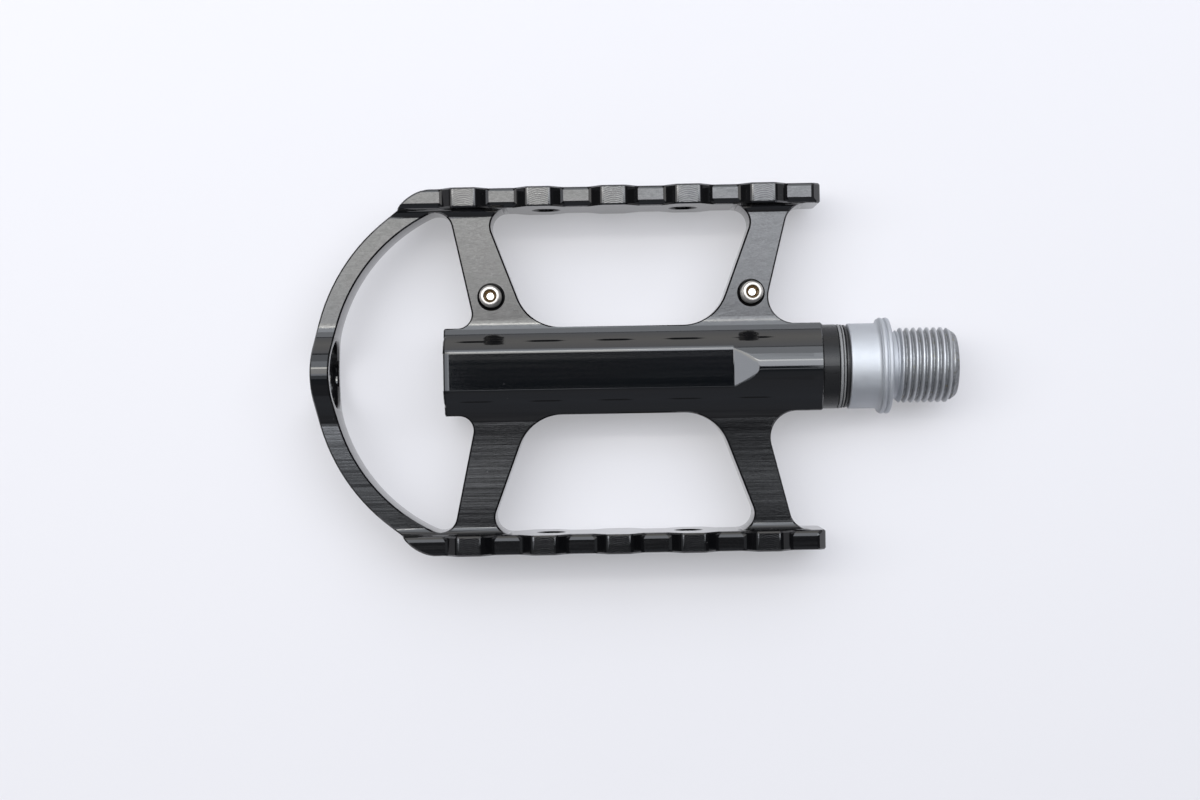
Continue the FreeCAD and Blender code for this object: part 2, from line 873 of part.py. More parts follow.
def make_cage():
    """Cage: a bar of one section along the spindle, milled to rails, arms, hoop and barrel."""
    body = new_body("pedal_cage")
    section = new_sketch(body, "cage_section", "YZ_Plane", lift=hoop_x)
    draw_section(section)
    feature(body, "Pad", "bar", section, Length=d.cage_len)
    one_side = [add_teeth(body), cut_rail_ends(body)]
    one_side += mill_windows(body)
    one_side.append(drill_reflector_holes(body))
    repeat(body, "Mirrored", "other_side", one_side, MirrorPlane=(datum(body, "XZ_Plane"), [""]))
    mill_hoop(body)
    mill_flats(body)
    bore_barrel(body)
    holes = drill_pin_holes(body)
    axis = (datum(body, "X_Axis"), [""])
    repeat(body, "PolarPattern", "other_face", holes, Axis=axis, Angle=360, Occurrences=2)


def make_pins():
    """Traction pins: set screws with a hexagon socket, two on each tread face."""
    radius = d.pin_dia / 2
    for face_name, face in (("top", 1), ("bottom", -1)):
        for end_name, pin_x in zip(("inboard", "outboard"), pin_stations()):
            label = f"traction_pin_{face_name}_{end_name}"
            corners = [
                (0, -d.pin_depth),
                (radius - d.pin_edge, -d.pin_depth),
                (radius, d.pin_edge - d.pin_depth),
                (radius, d.pin_stand - d.pin_edge),
                (radius - d.pin_edge, d.pin_stand),
                (0, d.pin_stand),
            ]
            body = turned(label, corners, axis="V_Axis")
            key = new_sketch(body, f"{label}_key", "XY_Plane", lift=d.pin_stand)
            hexagon(key, d.pin_key_flats)
            feature(body, "Pocket", f"{label}_socket", key, Length=d.pin_key_depth)
            turn = FreeCAD.Rotation(FreeCAD.Vector(1, 0, 0), 90 - 90 * face)
            place(body, pin_x, d.pin_y * face, plate_z * face, turn)


def race(label, land, wall, middle_x):
    """One ring of a ball bearing, with its groove for the balls."""
    half = d.bearing_w / 2
    reach = leg(track_r, pitch_r - land)
    inner = land.value < pitch_r.value
    groove = (0, pitch_r, track_r, -1 if inner else 1)
    corners = [
        (-half, wall),
        (half, wall),
        (half, land),
        (reach, land, groove),
        (-reach, land),
        (-half, land),
    ]
    place(turned(label, corners), middle_x)


def make_balls(label, middle_x):
    """The balls of one bearing, spaced round its pitch circle."""
    balls = []
    for k in range(DIMENSIONS["ball_count"]):
        ball = doc.addObject("Part::Sphere", f"{label}_{k}")
        bind(ball, "Radius", ball_r)
        angle = 2 * math.pi * k / DIMENSIONS["ball_count"]
        place(ball, 0, pitch_r * math.sin(angle), pitch_r * math.cos(angle))
        balls.append(ball)
    group = doc.addObject("Part::Compound", label)
    group.Label = label
    group.Links = balls
    place(group, middle_x)
    pieces.append(group)


def make_retainer(label, middle_x):
    """The cage that spaces the balls: a thin ring with a round pocket for each."""
    half = d.retainer_w / 2
    wall = d.retainer_wall / 2
    body = sleeve(label, -half, half, pitch_r - wall, pitch_r + wall)
    sketch = new_sketch(body, f"{label}_pocket_outline", "XY_Plane")
    circle(sketch, 0, 0, track_r)
    length = pitch_r + d.retainer_wall
    pocket = feature(body, "Pocket", f"{label}_pocket", sketch, Length=length, Reversed=True)
    count = DIMENSIONS["ball_count"]
    axis = (datum(body, "X_Axis"), [""])
    repeat(body, "PolarPattern", f"{label}_pockets", [pocket], Axis=axis, Angle=360, Occurrences=count)
    place(body, middle_x)


def make_shields(label, middle_x):
    """The two thin shields that close a bearing at its sides."""
    body = new_body(f"{label}_half")
    pieces.remove(body)
    sketch = new_sketch(body, f"{label}_section", "XZ_Plane")
    out = d.bearing_w / 2 - d.shield_inset
    low = inner_land_r + d.shield_gap
    high = outer_land_r - d.seat_gap
    outline(sketch, [(out - d.shield_wall, low), (out, low), (out, high), (out - d.shield_wall, high)])
    feature(body, "Revolution", f"{label}_turned", sketch, ReferenceAxis=(sketch, ["H_Axis"]), Angle=360)
    other = doc.addObject("Part::Mirroring", f"{label}_other")
    other.Source = body
    other.Normal = FreeCAD.Vector(1, 0, 0)
    group = doc.addObject("Part::Compound", label)
    group.Label = label
    group.Links = [body, other]
    place(group, middle_x)
    pieces.append(group)


def make_bearing(name, middle_x):
    """A shielded ball bearing about the spindle's bearing seat."""
    race(f"{name}_bearing_outer_race", outer_land_r, pocket_r - d.seat_gap, middle_x)
    race(f"{name}_bearing_inner_race", inner_land_r, bearing_seat_r + d.seat_gap, middle_x)
    make_balls(f"{name}_bearing_balls", middle_x)
    make_retainer(f"{name}_bearing_retainer", middle_x)
    make_shields(f"{name}_bearing_shields", middle_x)


def make_stack():
    """The spacer between the bearings, and the washer that the nut clamps them with."""
    bore = bearing_seat_r + d.seat_gap
    sleeve("bearing_spacer", spacer_x - d.spacer_w, spacer_x, bore, inner_land_r)
    sleeve("lock_washer", nut_x, washer_x, d.stub_dia / 2 + d.seat_gap, inner_land_r)


def make_nut():
    """Lock nut on the spindle's stub."""
    along_x = FreeCAD.Rotation(FreeCAD.Vector(0, 1, 0), 90)
    block = doc.addObject("Part::Prism", "nut_block")
    block.Polygon = 6
    bind(block, "Circumradius", d.nut_flats * (HEX_CORNER / 2))
    bind(block, "Height", d.nut_len)
    hole = doc.addObject("Part::Cylinder", "nut_hole")
    bind(hole, "Radius", d.stub_dia / 2 + d.seat_gap)
    bind(hole, "Height", d.nut_len)
    nut = doc.addObject("Part::Cut", "lock_nut")
    nut.Label = "lock_nut"
    nut.Base = block
    nut.Tool = hole
    place(nut, nut_x - d.nut_len, 0, 0, along_x)
    pieces.append(nut)


def make_cap():
    """Screw cap in the barrel's free end, with a hexagon socket and an O-ring round its rim."""
    rim = d.cap_dia / 2 - d.seat_gap
    cord = d.o_ring_cord
    middle_x = (cap_face_x + cap_x) / 2
    floor = rim - cord
    body = turned(
        "end_cap",
        [
            (cap_face_x, 0),
            (cap_face_x, rim),
            (middle_x - cord / 2, rim),
            (middle_x - cord / 2, floor),
            (middle_x + cord / 2, floor),
            (middle_x + cord / 2, rim),
            (cap_x, rim),
            (cap_x, 0),
        ],
    )
    key = new_sketch(body, "cap_key_outline", "YZ_Plane", lift=cap_face_x)
    hexagon(key, d.cap_key_flats)
    feature(body, "Pocket", "cap_key", key, Length=d.cap_key_depth, Reversed=True)
    ring = doc.addObject("Part::Torus", "end_cap_o_ring")
    ring.Label = "end_cap_o_ring"
    bind(ring, "Radius1", rim - cord / 2)
    bind(ring, "Radius2", cord / 2)
    place(ring, middle_x, 0, 0, FreeCAD.Rotation(FreeCAD.Vector(0, 1, 0), 90))
    pieces.append(ring)


def write_pieces():
    """Tests every object and piece, then writes each piece to its own file."""
    doc.recompute()
    for thing in doc.Objects:
        if "Invalid" in thing.State or "Error" in thing.State:
            raise RuntimeError(f"{thing.Label} failed: {thing.State}")
    for piece in pieces:
        if piece.Shape.isNull() or not piece.Shape.isValid():
            raise RuntimeError(f"{piece.Label} has no valid shape")
    os.makedirs("parts", exist_ok=True)
    for piece in pieces:
        piece.Shape.exportStep(f"parts/{piece.Label}.step")
        print(f"{piece.Label}: {len(piece.Shape.Solids)} solids, {piece.Shape.Volume:.1f} mm3")


make_spindle()
make_seal()
make_bushing()
make_cage()
make_pins()
make_bearing("inner", inner_bearing_x)
make_bearing("outer", outer_bearing_x)
make_stack()
make_nut()
make_cap()
write_pieces()
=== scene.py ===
import math

import bpy
import numpy as np
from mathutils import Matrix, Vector


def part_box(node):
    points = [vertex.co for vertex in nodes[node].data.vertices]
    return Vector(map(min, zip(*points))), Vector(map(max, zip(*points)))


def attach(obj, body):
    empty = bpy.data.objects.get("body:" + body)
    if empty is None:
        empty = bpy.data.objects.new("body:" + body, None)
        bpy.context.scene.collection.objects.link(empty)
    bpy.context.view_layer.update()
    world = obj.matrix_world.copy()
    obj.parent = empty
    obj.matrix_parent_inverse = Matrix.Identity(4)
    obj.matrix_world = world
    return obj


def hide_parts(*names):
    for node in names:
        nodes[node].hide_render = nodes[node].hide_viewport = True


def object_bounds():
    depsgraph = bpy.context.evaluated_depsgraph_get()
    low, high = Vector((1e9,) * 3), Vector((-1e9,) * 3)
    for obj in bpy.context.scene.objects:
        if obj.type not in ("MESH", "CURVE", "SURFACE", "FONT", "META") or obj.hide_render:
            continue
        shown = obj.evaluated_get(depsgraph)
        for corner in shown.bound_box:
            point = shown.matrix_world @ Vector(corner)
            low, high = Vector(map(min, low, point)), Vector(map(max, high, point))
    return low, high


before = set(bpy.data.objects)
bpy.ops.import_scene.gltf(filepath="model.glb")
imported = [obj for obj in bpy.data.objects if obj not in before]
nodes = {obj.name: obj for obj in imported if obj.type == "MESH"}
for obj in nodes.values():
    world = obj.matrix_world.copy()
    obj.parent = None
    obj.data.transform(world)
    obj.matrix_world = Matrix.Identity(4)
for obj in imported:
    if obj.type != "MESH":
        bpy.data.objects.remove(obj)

cad_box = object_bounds()
MM = 0.001


# Node materials

class Shader:
    """A node material that is built step by step around one Principled shader."""

    def __init__(self, name, **constants):
        self.material = bpy.data.materials.new(name)
        self.material.use_nodes = True
        self.tree = self.material.node_tree
        self.tree.nodes.clear()
        out = self.add("ShaderNodeOutputMaterial")
        self.bsdf = self.add("ShaderNodeBsdfPrincipled")
        self.link(self.bsdf.outputs[0], out.inputs["Surface"])
        for key, value in constants.items():
            self.bsdf.inputs[key.replace("_", " ")].default_value = value
        self.place = self.add("ShaderNodeTexCoord").outputs["Object"]

    def add(self, kind, **settings):
        node = self.tree.nodes.new(kind)
        for key, value in settings.items():
            setattr(node, key, value)
        return node

    def link(self, source, target):
        self.tree.links.new(source, target)

    def feed(self, socket, value):
        """Links a socket to a node's output, or sets it to a constant."""
        if isinstance(value, bpy.types.NodeSocket):
            self.link(value, socket)
        else:
            socket.default_value = value

    def fed(self, name):
        """The output that feeds one of the Principled shader's sockets."""
        return self.bsdf.inputs[name].links[0].from_socket

    def colour(self, value):
        self.feed(self.bsdf.inputs["Base Color"], value)

    def roughness(self, value):
        self.feed(self.bsdf.inputs["Roughness"], value)

    def normal(self, value):
        self.feed(self.bsdf.inputs["Normal"], value)

    def calc(self, operation, *values):
        """One step of arithmetic on outputs and constants."""
        node = self.add("ShaderNodeMath", operation=operation)
        for socket, value in zip(node.inputs, values):
            self.feed(socket, value)
        return node.outputs[0]

    def plus(self, a, b):
        return self.calc("ADD", a, b)

    def minus(self, a, b):
        return self.calc("SUBTRACT", a, b)

    def times(self, first, *others):
        for other in others:
            first = self.calc("MULTIPLY", first, other)
        return first

    def either(self, first, *others):
        """The largest of several values."""
        for other in others:
            first = self.calc("MAXIMUM", first, other)
        return first

    def length(self, a, b):
        """Length of the line that goes a along one axis and b along another."""
        return self.calc("SQRT", self.plus(self.times(a, a), self.times(b, b)))

    def span(self, value, low, high, to_low=0.0, to_high=1.0, curve="LINEAR"):
        """A value mapped from one range on to another, and held inside it."""
        node = self.add("ShaderNodeMapRange", interpolation_type=curve)
        for socket, item in zip(node.inputs, (value, low, high, to_low, to_high)):
            self.feed(socket, item)
        return node.outputs[0]

    def smooth(self, value, low, high):
        """A soft step from 0 at low to 1 at high."""
        return self.span(value, low, high, curve="SMOOTHSTEP")

    def above(self, value, limit, fade):
        """1 above a limit and 0 below it, with a straight fade on both sides."""
        return self.span(value, limit - fade, limit + fade)

    def below(self, value, limit, fade):
        """1 below a limit and 0 above it, with a straight fade on both sides."""
        return self.span(value, limit + fade, limit - fade)

    def near(self, value, target, reach):
        """1 where a value is within reach of a target, else 0."""
        off = self.calc("ABSOLUTE", self.minus(value, target))
        return self.span(off, reach, reach * 1.3, 1.0, 0.0)

    def noise(self, scale, detail=2.0, rough=0.5, twist=0.0):
        """Noise in the object's own coordinates, with its scale per metre along each axis."""
        stretch = self.add("ShaderNodeMapping")
        self.link(self.place, stretch.inputs["Vector"])
        stretch.inputs["Scale"].default_value = scale
        node = self.add("ShaderNodeTexNoise")
        self.link(stretch.outputs[0], node.inputs["Vector"])
        settings = {"Scale": 1.0, "Detail": detail, "Roughness": rough, "Distortion": twist}
        for key, value in settings.items():
            node.inputs[key].default_value = value
        return node.outputs["Fac"]

    def mix(self, kind, share, first, second):
        """One value, direction or colour, as its kind says, fading to another."""
        slot = ("FLOAT", "VECTOR", "RGBA").index(kind)
        node = self.add("ShaderNodeMix", data_type=kind)
        self.feed(node.inputs[0], share)
        self.feed(node.inputs[2 + 2 * slot], first)
        self.feed(node.inputs[3 + 2 * slot], second)
        return node.outputs[slot]

    def fade(self, share, first, second):
        """One value fading to another."""
        return self.mix("FLOAT", share, first, second)

    def pick(self, share, first, second):
        """One direction fading to another."""
        return self.mix("VECTOR", share, first, second)

    def blend(self, share, first, second):
        """One colour fading to another."""
        return self.mix("RGBA", share, first, second)

    def axes(self, vector):
        node = self.add("ShaderNodeSeparateXYZ")
        self.link(vector, node.inputs[0])
        return node.outputs

    def turn(self, normal, start, end):
        """A normal turned from the object's own axes to the world's, or back."""
        node = self.add("ShaderNodeVectorTransform", vector_type="NORMAL", convert_from=start, convert_to=end)
        self.link(normal, node.inputs[0])
        return node.outputs[0]

    def direction(self, x, y, z):
        """A direction in the object's own axes, turned to the world's."""
        parts = self.add("ShaderNodeCombineXYZ")
        for socket, item in zip(parts.inputs, (x, y, z)):
            self.feed(socket, item)
        return self.turn(parts.outputs[0], "OBJECT", "WORLD")

    def rounded(self, radius):
        """Normals of edges that look rounded."""
        node = self.add("ShaderNodeBevel", samples=6)
        self.feed(node.inputs["Radius"], radius)
        return node.outputs[0]

    def bump(self, height, strength, depth, under=None):
        node = self.add("ShaderNodeBump")
        node.inputs["Strength"].default_value = strength
        node.inputs["Distance"].default_value = depth
        self.link(height, node.inputs["Height"])
        if under:
            self.link(under, node.inputs["Normal"])
        return node.outputs[0]


def rgb(r, g, b):
    return (r, g, b, 1.0)


# The cage's finish, by places on its drawn section

BARREL_R = 8.2 * MM
BARREL_END_X = -85.5 * MM
FLAT_Z = 7.3 * MM
RAMP_X = -31.45 * MM
RAMP_SLOPE = 0.18
BLEND_R = 6.0 * MM
BLEND_Y = 5.6 * MM
PLATE_Z = 4.375 * MM
TOOTH_PITCH = 13.88 * MM
FIRST_TOOTH_X = -25.59 * MM

# Limits that part one face or mark from the next
OVER_PLATES = 4.55 * MM
UNDER_FLATS = 7.15 * MM
BESIDE_FLATS = 5.75 * MM
UNDER_TREADS = 8.5 * MM
RAIL_Y = 29.5 * MM
MOUTH_X = -16.7 * MM
HOOP_X = -85.95 * MM
HOOP_RIM_Y = (9.5 * MM, 26.5 * MM)
TIP_X = (-84.2 * MM, -84.8 * MM)
TIP_Y = 4.3 * MM

# How far a facet may lie from its true face, and how wide the fades are
FACE_REACH = 0.06 * MM
SEAM = 0.1 * MM
HALF_SEAM = SEAM / 2


class CagePoint:
    """The shaded point of the cage: its coordinates, the face it lies on and the marks there."""

    def __init__(self, s):
        self.x, self.y, self.z = s.axes(s.place)
        self.width = s.calc("ABSOLUTE", self.y)
        self.height = s.calc("ABSOLUTE", self.z)
        self.side = s.calc("SIGN", self.y)
        self.face = s.calc("SIGN", self.z)
        self.find_faces(s)
        self.make_marks(s)

    def find_faces(self, s):
        shape = s.add("ShaderNodeNewGeometry").outputs
        facing = s.axes(s.turn(shape["True Normal"], "WORLD", "OBJECT"))
        to_x, to_y, to_z = (s.calc("ABSOLUTE", part) for part in facing)
        level = s.span(to_z, 0.96, 0.995)
        self.tread = s.times(level, s.above(self.height, UNDER_TREADS, SEAM))
        self.plate = s.times(level, s.below(self.height, OVER_PLATES, HALF_SEAM))
        land = s.times(level, s.above(self.width, RAIL_Y, 0.5 * MM))
        self.milled = s.either(self.plate, land)
        self.high = s.above(self.height, UNDER_FLATS, HALF_SEAM)
        self.flat = s.times(level, self.high, s.below(self.width, BESIDE_FLATS, 0.25 * MM))

        square = s.span(s.either(to_x, to_y, to_z), 0.9990, 0.9996)
        self.broken = s.times(s.span(to_z, 0.40, 0.42), s.span(to_z, 0.97, 0.95))
        self.flank = s.times(self.broken, s.span(to_y, 0.30, 0.25), s.below(self.x, MOUTH_X, SEAM))
        self.edge = s.pick(s.either(square, self.broken), shape["Normal"], shape["True Normal"])

    def make_marks(self, s):
        self.bands = s.noise((12.0, 900.0, 900.0))
        self.swirl = s.noise((700.0, 2000.0, 700.0), detail=4.0, rough=0.65, twist=1.6)
        self.scratches = s.noise((45.0, 3600.0, 45.0), detail=3.0, rough=0.6)
        self.ridges = s.times(cutter_waves(s, self.x, self.y), self.tread)
        self.upper = s.above(self.y, 0.0, 1.0 * MM)
        self.calm = s.span(self.upper, 0.0, 1.0, 0.3, 1.0)


def cutter_waves(s, x, y):
    """Fine ridges that the cutter leaves across the treads, bowed around each tooth's middle."""
    bow_reach = 6.0 * MM
    radians_per_metre = 15700.0
    past = s.minus(FIRST_TOOTH_X + TOOTH_PITCH / 2, x)
    across = s.minus(s.calc("FLOORED_MODULO", past, TOOTH_PITCH), TOOTH_PITCH / 2)
    bow = s.calc("DIVIDE", s.times(across, across), bow_reach)
    wander = s.times(s.noise((900.0, 300.0, 60.0)), 5.0)
    return s.calc("SINE", s.plus(s.times(s.plus(y, bow), radians_per_metre), wander))


def barrel_normal(s, at):
    """Where the barrel and its flats show, and their normals, which turn softly at a flat's rims."""
    flat_y, flat_start_x = 3.95 * MM, RAMP_X - HALF_SEAM
    rim_inner, rim_outer = 3.25 * MM, 4.35 * MM
    bow_length, bow_lean = 1.3 * MM, -0.15
    bow_inner, bow_outer = 3.4 * MM, 4.4 * MM
    along = s.times(
        s.smooth(at.x, BARREL_END_X - SEAM, BARREL_END_X + SEAM),
        s.smooth(at.x, flat_start_x + SEAM, flat_start_x - SEAM),
    )
    inside = s.span(at.width, BLEND_Y + HALF_SEAM, BLEND_Y)
    round_share = s.times(s.near(s.length(at.y, at.z), BARREL_R, FACE_REACH), inside)
    on_flat = s.near(at.height, FLAT_Z, 0.02 * MM)
    flat_share = s.times(on_flat, s.below(at.width, flat_y, HALF_SEAM), along)

    level = s.times(along, s.smooth(at.width, rim_outer, rim_inner))
    tilt = s.calc("ARCSINE", s.calc("MINIMUM", s.calc("DIVIDE", at.width, BARREL_R), 1.0))
    tilt = s.times(tilt, s.minus(1.0, level))
    end = s.times(
        s.smooth(at.x, BARREL_END_X + bow_length, BARREL_END_X),
        s.smooth(at.x, BARREL_END_X - 3 * SEAM, BARREL_END_X - 2 * SEAM),
        s.smooth(at.width, bow_outer, bow_inner),
    )
    normal = s.direction(
        s.times(end, bow_lean),
        s.times(at.side, s.calc("SINE", tilt)),
        s.times(at.face, s.calc("COSINE", tilt)),
    )
    return s.either(round_share, flat_share), normal


def ramp_normal(s, at):
    """Where the ramps climb from the flats to the barrel, and their normals."""
    over_barrel, under_barrel = 0.06 * MM, -0.30 * MM
    rise = s.calc("MULTIPLY_ADD", at.x, RAMP_SLOPE, FLAT_Z - RAMP_X * RAMP_SLOPE)
    crown = s.calc("SQRT", s.either(s.minus(BARREL_R ** 2, s.times(at.y, at.y)), 0.0))
    share = s.times(
        s.smooth(s.minus(rise, crown), over_barrel, under_barrel),
        s.smooth(at.x, RAMP_X - SEAM, RAMP_X + SEAM),
        at.high,
    )
    lean = math.atan(RAMP_SLOPE)
    return share, s.direction(-math.sin(lean), 0.0, s.times(at.face, math.cos(lean)))


def blend_normal(s, at):
    """Where the hollow blends between the barrel and the plates show, and their normals."""
    middle_z = PLATE_Z + BLEND_R
    middle_y = math.sqrt((BARREL_R + BLEND_R) ** 2 - middle_z ** 2)
    out_y = s.minus(middle_y, at.width)
    out_z = s.minus(middle_z, at.height)
    share = s.times(
        s.near(s.length(out_y, out_z), BLEND_R, FACE_REACH),
        s.span(at.width, BLEND_Y - HALF_SEAM, BLEND_Y),
        s.span(at.width, middle_y + 0.02 * MM, middle_y),
    )
    normal = s.direction(
        0.0,
        s.times(at.side, s.calc("DIVIDE", out_y, BLEND_R)),
        s.times(at.face, s.calc("DIVIDE", out_z, BLEND_R)),
    )
    return share, normal


def section_normal(s, at):
    """Exact normals of the drawn bar: the round barrel, its flats, their ramps and the blends.

    The CAD mesh follows these faces with few facets, which a mirror finish would show.
    """
    normal = at.edge
    for find in (barrel_normal, ramp_normal, blend_normal):
        share, exact = find(s, at)
        normal = s.pick(share, normal, exact)
    return normal


def cage_normal(s, at):
    """Drawing streaks, cutter swirls and scratches on the plates, and ridges on the treads."""
    streaks = s.noise((35.0, 3200.0, 3200.0))
    scored = s.times(at.scratches, at.plate, s.span(at.y, -9.0 * MM, -10.0 * MM))
    normal = s.bump(streaks, strength=0.012, depth=0.05 * MM, under=section_normal(s, at))
    normal = s.bump(s.times(at.swirl, at.plate), strength=0.05, depth=0.10 * MM, under=normal)
    normal = s.bump(scored, strength=0.06, depth=0.05 * MM, under=normal)
    return s.bump(s.times(at.ridges, at.calm), strength=0.35, depth=0.01 * MM, under=normal)


def cage_roughness(s, at):
    """Polished where the bar is drawn, and duller where it is milled."""
    polished = s.span(at.bands, 0.3, 0.7, 0.04, 0.07)
    dull = s.times(at.milled, s.span(at.swirl, 0.3, 0.7, 0.05, 0.12), at.calm)
    grain = s.times(s.noise((6000.0, 6000.0, 6000.0)), 0.02)
    return s.plus(s.plus(polished, dull), grain)


def cage_sheen(s, at):
    """Strength of the reflections: streaky where milled, weak on flanks, rims and the flats' tips."""
    swirls = s.times(s.minus(at.swirl, 0.5), 0.55)
    lines = s.times(s.minus(at.scratches, 0.5), 1.5)
    marks = s.times(s.fade(at.upper, lines, swirls), at.milled)
    marks = s.plus(marks, s.times(at.ridges, 0.10))
    rim_start, rim_end = HOOP_RIM_Y
    rim = s.times(
        at.broken,
        s.above(at.width, rim_start, SEAM),
        s.below(at.width, rim_end, SEAM),
        s.below(at.x, HOOP_X, HALF_SEAM),
    )
    tip = s.times(s.span(at.x, *TIP_X, 0.0, 0.6), s.below(at.width, TIP_Y, SEAM), at.high)
    dim = s.either(at.flank, rim, tip)
    return s.times(s.plus(marks, 0.5), s.span(dim, 0.0, 1.0, 1.0, 0.25))


def cage_colour(s, at):
    """Black, a little bluer on the flats, with a few pale specks."""
    black = s.blend(at.bands, rgb(0.002, 0.002, 0.0024), rgb(0.004, 0.004, 0.0045))
    black = s.blend(at.flat, black, rgb(0.0008, 0.0014, 0.0022))
    specks = s.span(s.noise((1500.0, 1500.0, 1500.0), detail=1.0), 0.80, 0.84, 0.0, 0.6)
    return s.blend(specks, black, rgb(0.08, 0.08, 0.08))


def anodised_cage():
    """Black anodised bar stock: polished barrel, milled plates, wavy cutter marks on the treads."""
    s = Shader("black_anodised_cage", IOR=1.70, Metallic=0.0)
    at = CagePoint(s)
    s.normal(cage_normal(s, at))
    s.roughness(cage_roughness(s, at))
    s.feed(s.bsdf.inputs["Specular IOR Level"], cage_sheen(s, at))
    s.colour(cage_colour(s, at))
    return s.material


def break_edges(cage):
    """Breaks the milled cage's sharp edges, as its tumbling does, and keeps its flat faces flat."""
    join = cage.modifiers.new("join", "WELD")
    join.merge_threshold = 0.001 * MM
    plain = cage.modifiers.new("plain", "DECIMATE")
    plain.decimate_type = "DISSOLVE"
    plain.angle_limit = math.radians(0.3)
    cut = cage.modifiers.new("cut", "TRIANGULATE")
    cut.ngon_method = "BEAUTY"
    cut.min_vertices = 40
    edge = cage.modifiers.new("edge", "BEVEL")
    edge.width = 0.30 * MM
    edge.segments = 1
    edge.limit_method = "ANGLE"
    edge.angle_limit = math.radians(33)
    edge.use_clamp_overlap = False
    edge.loop_slide = False
    shade = cage.modifiers.new("shade", "WEIGHTED_NORMAL")
    shade.weight = 80


# Finishes of the other pieces

def turned_metal(name, colour, shade, satin, metallic=1.0, cut=0.10):
    """Metal turned on a lathe: fine rings along X, a soft mottle and a satin sheen."""
    s = Shader(name, Metallic=metallic, IOR=1.6)
    rings = s.noise((9000.0, 60.0, 60.0))
    mottle = s.noise((700.0, 700.0, 700.0), detail=4.0, rough=0.6)
    grain = s.noise((14000.0, 14000.0, 14000.0), detail=1.0)
    normal = s.bump(rings, strength=cut, depth=0.03 * MM, under=s.rounded(0.10 * MM))
    s.normal(s.bump(grain, strength=0.05, depth=0.03 * MM, under=normal))
    s.roughness(s.plus(s.span(mottle, 0.3, 0.7, *satin), s.times(rings, 0.05)))
    s.colour(s.blend(mottle, shade, colour))
    return s


def spindle_steel():
    """Satin zinc plate, with painted shade and a few brassy traces in the crank thread's grooves."""
    groove_top, groove_floor = 6.95 * MM, 6.45 * MM
    s = turned_metal("satin_zinc_spindle", rgb(0.52, 0.535, 0.56), rgb(0.45, 0.465, 0.49), (0.58, 0.68))
    x, y, z = s.axes(s.place)
    screw = s.above(x, 0.0, 0.4 * MM)
    groove = s.times(s.span(s.length(y, z), groove_top, groove_floor), screw)
    # Painted shade: the thread's grooves are coloured dark grey where shade falls in them, with a few real
    # brassy traces in patches.
    shade_and_brass_noise = s.noise((1600.0, 1600.0, 1600.0), detail=4.0, rough=0.7)
    groove_shade_and_brass = s.times(groove, s.span(shade_and_brass_noise, 0.42, 0.72, 0.45, 0.95))
    shade_and_brass_colour = s.blend(s.span(shade_and_brass_noise, 0.60, 0.72), rgb(0.15, 0.153, 0.16), rgb(0.42, 0.35, 0.15))
    plate = s.blend(screw, s.fed("Base Color"), rgb(0.50, 0.51, 0.525))
    s.colour(s.blend(groove_shade_and_brass, plate, shade_and_brass_colour))
    s.roughness(s.minus(s.fed("Roughness"), s.times(screw, 0.10)))
    return s.material


def pin_steel(top):
    """Satin nickel plate, brown and darker on the socket's walls, whose floor is bright."""
    s = Shader("bright_nickel_pin", Metallic=1.0)
    x, y, z = s.axes(s.place)
    away = s.length(y, z)
    deep = s.span(x, (top - 0.01) * MM, (top - 0.06) * MM)
    wall = s.times(deep, s.below(away, 1.26 * MM, 0.04 * MM))
    floor = s.times(deep, s.below(away, 0.69 * MM, 0.03 * MM))
    mottle = s.noise((2600.0, 2600.0, 2600.0), detail=3.0, rough=0.6)
    fine = s.noise((16000.0, 16000.0, 2000.0))
    plate = s.blend(mottle, rgb(0.44, 0.42, 0.39), rgb(0.60, 0.575, 0.545))
    brown = s.blend(mottle, rgb(0.10, 0.065, 0.03), rgb(0.34, 0.25, 0.14))
    s.colour(s.blend(floor, s.blend(wall, plate, brown), rgb(0.80, 0.79, 0.77)))
    s.roughness(s.minus(s.span(mottle, 0.3, 0.7, 0.42, 0.54), s.times(floor, 0.34)))
    s.normal(s.bump(fine, strength=0.08, depth=0.02 * MM, under=s.rounded(0.08 * MM)))
    return s.material


def polymer():
    """Semi-gloss black, with faint turning rings."""
    s = Shader("black_polymer_bushing", IOR=1.36)
    rings = s.noise((7000.0, 40.0, 40.0))
    mottle = s.noise((500.0, 900.0, 900.0), detail=3.0)
    s.colour(s.blend(mottle, rgb(0.008, 0.008, 0.0085), rgb(0.012, 0.012, 0.0125)))
    s.roughness(s.span(mottle, 0.3, 0.7, 0.26, 0.31))
    s.normal(s.bump(rings, strength=0.10, depth=0.03 * MM, under=s.rounded(0.12 * MM)))
    return s.material


def rubber():
    """Dark rubber; the seal's two lips next to the bushing are worn grey."""
    lips_start_x, lips_end_x = -10.66 * MM, -12.95 * MM
    s = Shader("dark_rubber_seal", IOR=1.5)
    x = s.axes(s.place)[0]
    lips = s.times(s.below(x, lips_start_x, 0.04 * MM), s.above(x, lips_end_x, HALF_SEAM))
    grain = s.noise((5000.0, 5000.0, 5000.0), detail=3.0)
    black = s.blend(grain, rgb(0.008, 0.008, 0.0085), rgb(0.020, 0.020, 0.021))
    s.colour(s.blend(lips, black, rgb(0.17, 0.17, 0.172)))
    s.roughness(s.span(grain, 0.3, 0.7, 0.34, 0.50))
    s.normal(s.bump(grain, strength=0.12, depth=0.03 * MM, under=s.rounded(0.05 * MM)))
    return s.material


def grey(value, blue):
    """A grey whose blue part is a little stronger."""
    return rgb(value, value, value + blue)


